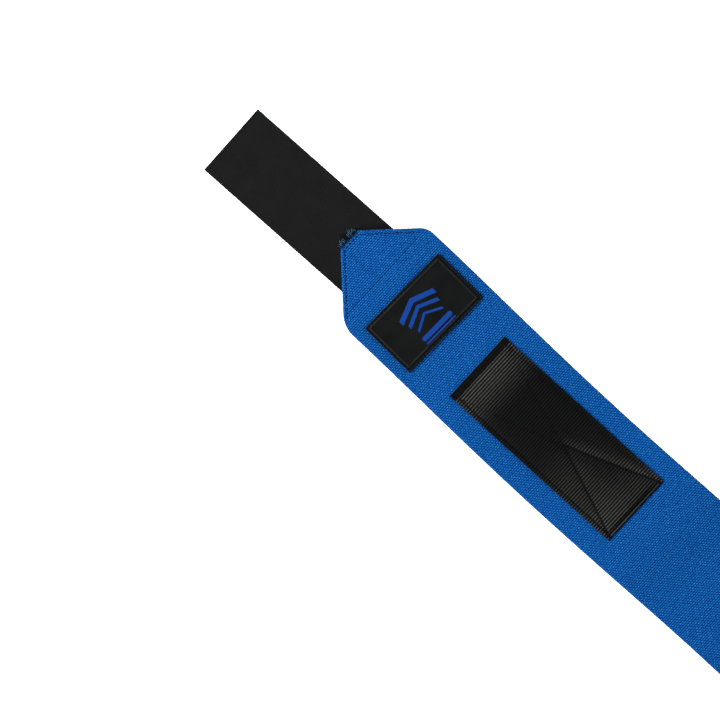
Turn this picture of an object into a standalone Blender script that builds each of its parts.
"""Elastic hand wrap lying flat: a wide elastic band with a pointed end, a hook strap and a thumb loop.

+X runs along the band from the strap's free end to the thumb loop, +Y across it and +Z up.
The origin is in the middle of the footprint, on the surface that the wrap lies on.
Stations are distances along the band in metres, counted from its blunt tip.
The cloth is cut at hinge lines into short sections, so that the wrap can roll up.
"""

import math

import bmesh
import bpy
from mathutils import Matrix, Vector

# Band
BAND_WIDTH = 0.080
BAND_LENGTH = 0.457
ELASTIC = 0.0016
TIP_WIDTH = 0.0145
TIP_OFFSET = 0.0019
FLAP_STATION = 0.0335
RAMP_LENGTH = 0.0108

# Closure strap: hook tape, woven back above and hooks below
STRAP_WIDTH = 0.050
STRAP_REACH = 0.095
STRAP_ROOT = 0.034
STRAP_SKEW = math.radians(1.2)
HOOK_HEIGHT = 0.0007
TAPE = 0.0009

# Label and ribbed panel
LABEL_LENGTH = 0.039
LABEL_WIDTH = 0.065
LABEL_STATION = 0.065
LABEL_SKEW = math.radians(-1.7)
LABEL_FLANGE = 0.0009
LABEL_FIELD = 0.0003
LABEL_BORDER = 0.0026
LABEL_CORNER = 0.002
PRINT_LENGTH = 0.019
PRINT_WIDTH = 0.030
PRINT_THICKNESS = 0.0003
PANEL_START = 0.1113
PANEL_LENGTH = 0.1325
PANEL_WIDTH = 0.050
PANEL_OFFSET = -0.0015
PANEL = 0.0014

# Thumb loop
LOOP_TAPE_WIDTH = 0.007
LOOP_TAPE = 0.0012
LOOP_SPREAD = 0.034
LOOP_REACH = 0.051
LOOP_SEWN = 0.014
TAIL_RAMP = 0.008

# Thread
THREAD_RADIUS = 0.00025
BARTACK = 0.0005
SEAM_INSET = 0.0026
BASE_SEAM_STATION = 0.0310
BASE_SEAM_HALF = 0.0315

# Hinge lines of the rolling wrap
STRAP_HINGES = (-0.0095, -0.052)
TIP_HINGE = 0.040
FIRST_PANEL_HINGE = 0.098
FIRST_SECTION = 0.042
SECTION_STEP = 0.0012
PANEL_SECTIONS = 4
BAND_SECTIONS = 5
LOOP_HINGE = 0.4582
SINGLE_GAP = 0.0007
PANEL_GAP = 0.0013
STRAP_GAP = 0.0009

LAYER_GAP = 0.00025
CUT_MARGIN = 0.01
FLAP_BITE = 0.0003

TAPE_Z = HOOK_HEIGHT + LAYER_GAP
FLAP_Z = TAPE_Z + TAPE + LAYER_GAP
TIP_LIFT = FLAP_Z + ELASTIC
TIP_TOP = TIP_LIFT + ELASTIC
LAID_TOP = ELASTIC
PANEL_Z = LAID_TOP + LAYER_GAP
TAIL_LIFT = LOOP_TAPE + LAYER_GAP
TAIL_TOP = TAIL_LIFT + ELASTIC
SEAM_LIFT = LAYER_GAP + THREAD_RADIUS

STRAP_END = STRAP_REACH * math.cos(STRAP_SKEW) + STRAP_WIDTH / 2 * math.sin(STRAP_SKEW)
LOOP_END = BAND_LENGTH + LOOP_REACH
MIDDLE = (LOOP_END - STRAP_END) / 2


def band_hinges():
    """Stations of the hinge lines from the label to the tail: each section is a little shorter."""
    stations = [FIRST_PANEL_HINGE]
    for index in range(PANEL_SECTIONS + BAND_SECTIONS):
        stations.append(stations[-1] + FIRST_SECTION - index * SECTION_STEP)
    return stations


def at(station, y=0.0, z=0.0):
    """The point at a station along the band."""
    return Vector((station - MIDDLE, y, z))


def smooth(t):
    t = min(max(t, 0.0), 1.0)
    return t * t * (3 - 2 * t)


def lift(station):
    """Height of the band's underside: it climbs over the strap's root and over the loop's sewn ends."""
    over_strap = TIP_LIFT * (1 - smooth((station - FLAP_STATION) / RAMP_LENGTH))
    tail_flat = BAND_LENGTH - LOOP_SEWN
    over_loop = TAIL_LIFT * smooth((station - tail_flat + TAIL_RAMP) / TAIL_RAMP)
    return over_strap + over_loop


# Scene and materials


def clear_scene():
    for obj in list(bpy.data.objects):
        bpy.data.objects.remove(obj, do_unlink=True)


def new_collection(name):
    collection = bpy.data.collections.new(name)
    bpy.context.scene.collection.children.link(collection)
    return collection


def new_material(name, colour, roughness):
    material = bpy.data.materials.new(name)
    material.use_nodes = True
    shader = material.node_tree.nodes["Principled BSDF"]
    shader.inputs["Base Color"].default_value = (*colour, 1.0)
    shader.inputs["Roughness"].default_value = roughness
    shader.inputs["Metallic"].default_value = 0.0
    return material


def move_to(obj, collection):
    for owner in list(obj.users_collection):
        owner.objects.unlink(obj)
    collection.objects.link(obj)


def hide_helper(obj):
    obj.hide_render = True
    obj.display_type = "WIRE"
    move_to(obj, CUTTERS)


def finish_part(obj, name, material):
    obj.name = name
    obj.data.name = name
    obj.data.materials.clear()
    obj.data.materials.append(material)
    move_to(obj, PARTS)
    return obj


# Shapes


def place_origin(obj, point):
    """Moves an object's origin to a point, such as one on its hinge, and leaves its shape in place."""
    offset = obj.matrix_world.inverted() @ point
    obj.data.transform(Matrix.Translation(-offset))
    obj.matrix_world = obj.matrix_world @ Matrix.Translation(offset)


def slab(name, material, start, end, width, z, thickness, y=0.0, edge=0.0002):
    """A flat layer of cloth between two stations, with its long edges eased."""
    centre = at((start + end) / 2, y, z + thickness / 2)
    bpy.ops.mesh.primitive_cube_add(size=1, location=centre)
    obj = bpy.context.active_object
    obj.data.transform(Matrix.Diagonal((end - start, width, thickness, 1)))
    bevel = obj.modifiers.new("Eased edges", "BEVEL")
    bevel.width = edge
    bevel.segments = 1
    return finish_part(obj, name, material)


def laid_sheet(name, material, start, end, columns):
    """A length of the elastic that follows the lift of what lies under it."""
    centre = at((start + end) / 2)
    bpy.ops.mesh.primitive_grid_add(
        x_subdivisions=columns, y_subdivisions=2, size=1, location=centre
    )
    obj = bpy.context.active_object
    obj.data.transform(Matrix.Diagonal((end - start, BAND_WIDTH, 1, 1)))
    for vertex in obj.data.vertices:
        vertex.co.z = lift(vertex.co.x + (start + end) / 2)
    shell = obj.modifiers.new("Cloth thickness", "SOLIDIFY")
    shell.thickness = ELASTIC
    shell.offset = 1.0
    return finish_part(obj, name, material)


def outline_solid(name, points, z, thickness):
    """A flat outline of (station, y) points, made solid."""
    curve = bpy.data.curves.new(name, "CURVE")
    curve.dimensions = "2D"
    curve.fill_mode = "BOTH"
    curve.extrude = thickness / 2
    spline = curve.splines.new("POLY")
    spline.points.add(len(points) - 1)
    for point, (station, y) in zip(spline.points, points):
        point.co = (*at(station, y).xy, 0.0, 1.0)
    spline.use_cyclic_u = True
    shape = bpy.data.objects.new(name + "_outline", curve)
    shape.location.z = z + thickness / 2
    bpy.context.scene.collection.objects.link(shape)
    return mesh_from_curve(shape, name)


def mesh_from_curve(shape, name):
    """A welded mesh in place of a curve object."""
    bpy.context.view_layer.update()
    evaluated = shape.evaluated_get(bpy.context.evaluated_depsgraph_get())
    mesh = bpy.data.meshes.new_from_object(evaluated)
    welded = bmesh.new()
    welded.from_mesh(mesh)
    bmesh.ops.remove_doubles(welded, verts=welded.verts, dist=0.00001)
    bmesh.ops.dissolve_limit(
        welded, angle_limit=math.radians(0.5), verts=welded.verts, edges=welded.edges
    )
    bmesh.ops.recalc_face_normals(welded, faces=welded.faces)
    welded.to_mesh(mesh)
    welded.free()
    obj = bpy.data.objects.new(name, mesh)
    obj.matrix_world = shape.matrix_world
    bpy.context.scene.collection.objects.link(obj)
    bpy.data.objects.remove(shape, do_unlink=True)
    return obj


def thread(name, material, points, closed=False):
    """A row of stitching as one thread laid through its points."""
    curve = bpy.data.curves.new(name, "CURVE")
    curve.dimensions = "3D"
    curve.bevel_depth = THREAD_RADIUS
    curve.bevel_resolution = 1
    curve.use_fill_caps = True
    spline = curve.splines.new("POLY")
    spline.points.add(len(points) - 1)
    for point, place in zip(spline.points, points):
        point.co = (*place, 1.0)
    spline.use_cyclic_u = closed
    obj = bpy.data.objects.new(name, curve)
    bpy.context.scene.collection.objects.link(obj)
    return finish_part(obj, name, material)


def combine(obj, other, operation):
    """Cuts or joins an object with a helper solid."""
    boolean = obj.modifiers.new(operation.title(), "BOOLEAN")
    boolean.operation = operation
    boolean.solver = "EXACT"
    boolean.object = other
    hide_helper(other)


def rounded_rectangle(length, width, radius, steps=4):
    """Corner points of a rectangle about the origin, each corner an arc."""
    points = []
    for quarter, (sx, sy) in enumerate(((1, 1), (-1, 1), (-1, -1), (1, -1))):
        for step in range(steps + 1):
            angle = math.radians(90) * (quarter + step / steps)
            x = sx * (length / 2 - radius) + radius * math.cos(angle)
            y = sy * (width / 2 - radius) + radius * math.sin(angle)
            points.append((x, y))
    return points


def turned(points, angle, station, y):
    """Points about the origin, turned and moved to a station."""
    c, s = math.cos(angle), math.sin(angle)
    return [(station + px * c - py * s, y + px * s + py * c) for px, py in points]


# Sub-parts


def taper_edges(inset=0.0):
    """The two 45 degree edges, from the blunt tip to the band's long edges, moved in by an inset."""
    slide = inset * math.tan(math.radians(22.5))
    edges = []
    for side in (1, -1):
        y_tip = TIP_OFFSET + side * (TIP_WIDTH / 2 - slide)
        y_far = side * (BAND_WIDTH / 2 - inset)
        edges.append(((inset, y_tip), (inset + abs(y_far - y_tip), y_far)))
    return edges


def shoulder(side):
    """The rounded corner where the 45 degree edge meets the band's long edge."""
    start = BAND_WIDTH / 2 - TIP_WIDTH / 2 - side * TIP_OFFSET
    corner = Vector((start, side * BAND_WIDTH / 2))
    radius = 0.012
    setback = radius * math.tan(math.radians(22.5))
    centre = Vector((corner.x + setback, corner.y - side * radius))
    points = []
    for step in range(5):
        angle = math.radians(135 - 45 * step / 4)
        reach = Vector((math.cos(angle), side * math.sin(angle)))
        points.append(tuple(centre + radius * reach))
    return points


def elastic_tip():
    """The pointed end: the corners are folded under at 45 degrees and lie below the top layer."""
    tip = laid_sheet("elastic_tip", BLUE, 0.0, TIP_HINGE - SINGLE_GAP, 25)
    half = TIP_WIDTH / 2
    upper = [(0.0, TIP_OFFSET + half)] + shoulder(1)
    lower = [(0.0, TIP_OFFSET - half)] + shoulder(-1)
    far = TIP_HINGE + CUT_MARGIN
    ends = [(far, BAND_WIDTH / 2), (far, -BAND_WIDTH / 2)]
    for side, edge in zip((1, -1), taper_edges()):
        near, far = edge
        flap = outline_solid(
            f"folded_corner_{'left' if side > 0 else 'right'}",
            [near, far, (far[0], near[1])],
            FLAP_Z,
            ELASTIC + FLAP_BITE,
        )
        combine(tip, flap, "UNION")
    outline = upper + ends + lower[::-1]
    cutter = outline_solid("taper_cutter", outline, -CUT_MARGIN, TIP_TOP + 2 * CUT_MARGIN)
    combine(tip, cutter, "INTERSECT")


def strap_piece(name, material, start, end, width, z, thickness, hinge=None):
    """A length of the strap, turned with it about the middle of the blunt tip."""
    piece = slab(name, material, start, end, width, z, thickness)
    pivot = at(0.0)
    turn = Matrix.Rotation(STRAP_SKEW, 4, "Z")
    move = Matrix.Translation(pivot) @ turn @ Matrix.Translation(-pivot)
    piece.matrix_world = move @ piece.matrix_world
    if hinge is not None:
        bpy.context.view_layer.update()
        place_origin(piece, move @ at(hinge, 0, hinge_height("strap_fold")))
    return piece


def closure_strap():
    """The hook tape in three lengths: the sewn root, and two that fold over the panel."""
    inner, outer = STRAP_HINGES
    lengths = (
        ("base", inner + STRAP_GAP, STRAP_ROOT, None),
        ("inner", outer + STRAP_GAP, inner - STRAP_GAP, inner),
        ("outer", -STRAP_REACH, outer - STRAP_GAP, outer),
    )
    for part, start, end, hinge in lengths:
        strap_piece(f"strap_{part}", TAPE_BLACK, start, end, STRAP_WIDTH, TAPE_Z, TAPE, hinge)
        strap_piece(
            f"hooks_{part}", HOOK_BLACK, start, end, STRAP_WIDTH - 0.002, 0, HOOK_HEIGHT, hinge
        )


def tip_stitching():
    """The rows that hold the folded corners and the strap's root, and the dense tack over the tip."""
    z = TIP_TOP + SEAM_LIFT
    left, right = taper_edges(SEAM_INSET)
    row = [left[1], left[0], right[0], right[1]]
    thread("taper_stitching", NAVY_THREAD, [at(s, y, z) for s, y in row])
    ends = (BASE_SEAM_HALF, -BASE_SEAM_HALF)
    thread("base_stitching", NAVY_THREAD, [at(BASE_SEAM_STATION, y, z) for y in ends])
    half = TIP_WIDTH / 2
    fan = [
        (-0.0004, TIP_OFFSET + half),
        (-0.0035, TIP_OFFSET + 0.7 * half),
        (-0.0058, TIP_OFFSET),
        (-0.0035, TIP_OFFSET - 0.7 * half),
        (-0.0004, TIP_OFFSET - half),
    ]
    tack = outline_solid("tip_bartack", fan, FLAP_Z, BARTACK)
    finish_part(tack, "tip_bartack", BLACK_THREAD)


def label():
    """The moulded label: a sewn flange round a raised field, with a print in its middle."""
    outline = rounded_rectangle(LABEL_LENGTH, LABEL_WIDTH, LABEL_CORNER)
    placed = turned(outline, LABEL_SKEW, LABEL_STATION, 0.0)
    plate = outline_solid("label_patch", placed, PANEL_Z, LABEL_FLANGE)
    shape = bmesh.new()
    shape.from_mesh(plate.data)
    top = max(shape.faces, key=lambda face: face.calc_center_median().z)
    bmesh.ops.inset_region(shape, faces=[top], thickness=LABEL_BORDER)
    for vertex in top.verts:
        vertex.co.z += LABEL_FIELD
    shape.to_mesh(plate.data)
    shape.free()
    finish_part(plate, "label_patch", RUBBER)

    inset = LABEL_BORDER / 2
    row = rounded_rectangle(LABEL_LENGTH - 2 * inset, LABEL_WIDTH - 2 * inset, LABEL_CORNER / 2, 2)
    seam_z = PANEL_Z + LABEL_FLANGE + SEAM_LIFT
    seam = [at(s, y, seam_z) for s, y in turned(row, LABEL_SKEW, LABEL_STATION, 0.0)]
    thread("label_stitching", BLACK_THREAD, seam, closed=True)

    field_top = PANEL_Z + LABEL_FLANGE + LABEL_FIELD + LAYER_GAP
    mark = rounded_rectangle(PRINT_LENGTH, PRINT_WIDTH, PRINT_LENGTH / 3)
    placed = turned(mark, LABEL_SKEW, LABEL_STATION, 0.0)
    print_solid = outline_solid("label_print", placed, field_top, PRINT_THICKNESS)
    finish_part(print_solid, "label_print", PRINT_BLUE)


def label_section():
    """The stretch of band that carries the label, from the tip's hinge line to the panel's."""
    start = TIP_HINGE + SINGLE_GAP
    end = FIRST_PANEL_HINGE - SINGLE_GAP
    laid_sheet("elastic_label_section", BLUE, start, end, 24)
    label()


def panel_sections(stations):
    """The band under the ribbed panel, and the panel itself, cut at the same hinge lines."""
    panel_end = PANEL_START + PANEL_LENGTH
    for index in range(PANEL_SECTIONS):
        near, far = stations[index], stations[index + 1]
        near_gap = SINGLE_GAP if index == 0 else PANEL_GAP
        far_gap = SINGLE_GAP if index == PANEL_SECTIONS - 1 else PANEL_GAP
        start, end = near + near_gap, far - far_gap
        number = index + 1
        slab(f"elastic_panel_{number}", BLUE, start, end, BAND_WIDTH, 0, ELASTIC)
        slab(
            f"ribbed_panel_{number}",
            WEBBING,
            max(start, PANEL_START),
            min(end, panel_end),
            PANEL_WIDTH,
            PANEL_Z,
            PANEL,
            PANEL_OFFSET,
        )


def panel_stitching(stations):
    """Border rows at the panel's two ends, each with its sides, and the crossing in the middle."""
    z = PANEL_Z + PANEL + SEAM_LIFT
    half_length = PANEL_LENGTH / 2 - SEAM_INSET
    half_width = PANEL_WIDTH / 2 - SEAM_INSET
    middle = PANEL_START + PANEL_LENGTH / 2
    slope = half_width / half_length

    def seam(station, y):
        return at(station, PANEL_OFFSET + y, z)

    near, far = middle - half_length, middle + half_length
    near_hinge, far_hinge = stations[1] - PANEL_GAP, stations[PANEL_SECTIONS - 1] + PANEL_GAP
    rows = (("near", near, near_hinge - 0.001), ("far", far, far_hinge + 0.001))
    for end, border, inner in rows:
        corners = [seam(inner, half_width), seam(border, half_width)]
        corners += [seam(border, -half_width), seam(inner, -half_width)]
        thread(f"panel_stitching_{end}", BLACK_THREAD, corners)
    reach = stations[2] - PANEL_GAP - 0.001 - middle
    arm = [seam(middle - 0.03, 0.03 * slope), seam(middle + reach, -reach * slope)]
    cross = [seam(middle - 0.03, -0.03 * slope), seam(middle + reach, reach * slope)]
    row = solid_thread("cross_stitching", arm)
    combine(row, solid_thread("cross_stitching_arm", cross), "UNION")
    finish_part(row, "cross_stitching", BLACK_THREAD)


def solid_thread(name, points):
    """A thread as a mesh, so that another can be joined to it."""
    return mesh_from_curve(thread(name + "_line", BLACK_THREAD, points), name)


def plain_sections(stations):
    """The band between the ribbed panel and the tail."""
    for index in range(BAND_SECTIONS):
        near, far = stations[PANEL_SECTIONS + index], stations[PANEL_SECTIONS + index + 1]
        number = index + 1
        slab(
            f"elastic_band_{number}",
            BLUE,
            near + SINGLE_GAP,
            far - SINGLE_GAP,
            BAND_WIDTH,
            0,
            ELASTIC,
        )


def tail(stations):
    """The band's end, lifted over the loop's two sewn ends, with its overlocked edge and two tacks."""
    near = stations[-1]
    laid_sheet("elastic_tail", BLUE, near + SINGLE_GAP, BAND_LENGTH, 14)
    inset = 0.0025
    edge = BAND_LENGTH - inset
    ends = (BAND_WIDTH / 2 - inset, inset - BAND_WIDTH / 2)
    thread("end_overlock", NAVY_THREAD, [at(edge, y, TAIL_TOP + SEAM_LIFT) for y in ends])
    for side, name in ((1, "left"), (-1, "right")):
        y = side * (LOOP_SPREAD - LOOP_TAPE_WIDTH) / 2
        start = BAND_LENGTH - LOOP_SEWN
        slab(f"loop_end_{name}", LOOP_BLACK, start, BAND_LENGTH, LOOP_TAPE_WIDTH, 0, LOOP_TAPE, y)
        slab(
            f"loop_bartack_{name}",
            BLACK_THREAD,
            start + 0.002,
            edge - 0.002,
            LOOP_TAPE_WIDTH - 0.001,
            TAIL_TOP + LAYER_GAP,
            BARTACK,
            y,
        )


def thumb_loop():
    """Flat elastic tape bent into a U: two legs and a half circle."""
    outer = LOOP_SPREAD / 2
    inner = outer - LOOP_TAPE_WIDTH
    start = LOOP_HINGE + 0.0008
    centre = LOOP_END - outer
    steps = 16

    def half_circle(radius, direction):
        angles = [direction * math.radians(90 - 180 * step / steps) for step in range(steps + 1)]
        return [(centre + radius * math.cos(a), radius * math.sin(a)) for a in angles]

    points = [(start, outer)] + half_circle(outer, 1) + [(start, -outer)]
    points += [(start, -inner)] + half_circle(inner, -1) + [(start, inner)]
    loop = outline_solid("thumb_loop", points, 0, LOOP_TAPE)
    finish_part(loop, "thumb_loop", LOOP_BLACK)


def hinge_height(joint):
    """Height of a hinge line: the middle of the stack of cloth that bends there."""
    if joint == "strap_fold":
        return (TAPE_Z + TAPE) / 2
    if joint == "tip_fold":
        return lift(TIP_HINGE) + ELASTIC / 2
    if joint in ("panel_fold_2", "panel_fold_3", "panel_fold_4"):
        return (PANEL_Z + PANEL) / 2
    if joint == "loop_fold":
        return LOOP_TAPE / 2
    return ELASTIC / 2


def hang(joint, station, names):
    """Puts the origins of a moving body's pieces on its hinge line."""
    for name in names:
        place_origin(bpy.data.objects[name], at(station, 0, hinge_height(joint)))


def hang_bodies(stations):
    """Each body turns about one hinge line. The strap's two free lengths are hung as they are made."""
    tip = ["elastic_tip", "strap_base", "hooks_base"]
    tip += ["tip_bartack", "taper_stitching", "base_stitching"]
    hang("tip_fold", TIP_HINGE, tip)
    seams = {1: ["panel_stitching_near"], 2: ["cross_stitching"]}
    seams[PANEL_SECTIONS] = ["panel_stitching_far"]
    for number in range(1, PANEL_SECTIONS + 1):
        names = [f"elastic_panel_{number}", f"ribbed_panel_{number}"] + seams.get(number, [])
        hang(f"panel_fold_{number}", stations[number - 1], names)
    for number in range(1, BAND_SECTIONS + 1):
        station = stations[PANEL_SECTIONS + number - 1]
        hang(f"band_fold_{number}", station, [f"elastic_band_{number}"])
    ends = ["elastic_tail", "end_overlock"]
    ends += [f"loop_{kind}_{side}" for kind in ("end", "bartack") for side in ("left", "right")]
    hang("tail_fold", stations[-1], ends)
    hang("loop_fold", LOOP_HINGE, ["thumb_loop"])


clear_scene()
PARTS = new_collection("hand_wrap")
CUTTERS = new_collection("cutters")
CUTTERS.hide_render = True

BLUE = new_material("blue_elastic", (0.006, 0.095, 0.37), 0.85)
TAPE_BLACK = new_material("black_tape", (0.013, 0.014, 0.013), 0.7)
HOOK_BLACK = new_material("black_hooks", (0.010, 0.010, 0.010), 0.5)
WEBBING = new_material("ribbed_webbing", (0.012, 0.013, 0.012), 0.6)
RUBBER = new_material("label_rubber", (0.008, 0.009, 0.009), 0.5)
PRINT_BLUE = new_material("print_blue", (0.012, 0.060, 0.400), 0.5)
LOOP_BLACK = new_material("loop_elastic", (0.012, 0.012, 0.013), 0.7)
NAVY_THREAD = new_material("navy_thread", (0.004, 0.020, 0.090), 0.6)
BLACK_THREAD = new_material("black_thread", (0.010, 0.010, 0.012), 0.55)

HINGES = band_hinges()
elastic_tip()
closure_strap()
tip_stitching()
label_section()
panel_sections(HINGES)
panel_stitching(HINGES)
plain_sections(HINGES)
tail(HINGES)
thumb_loop()
bpy.context.view_layer.update()
hang_bodies(HINGES)
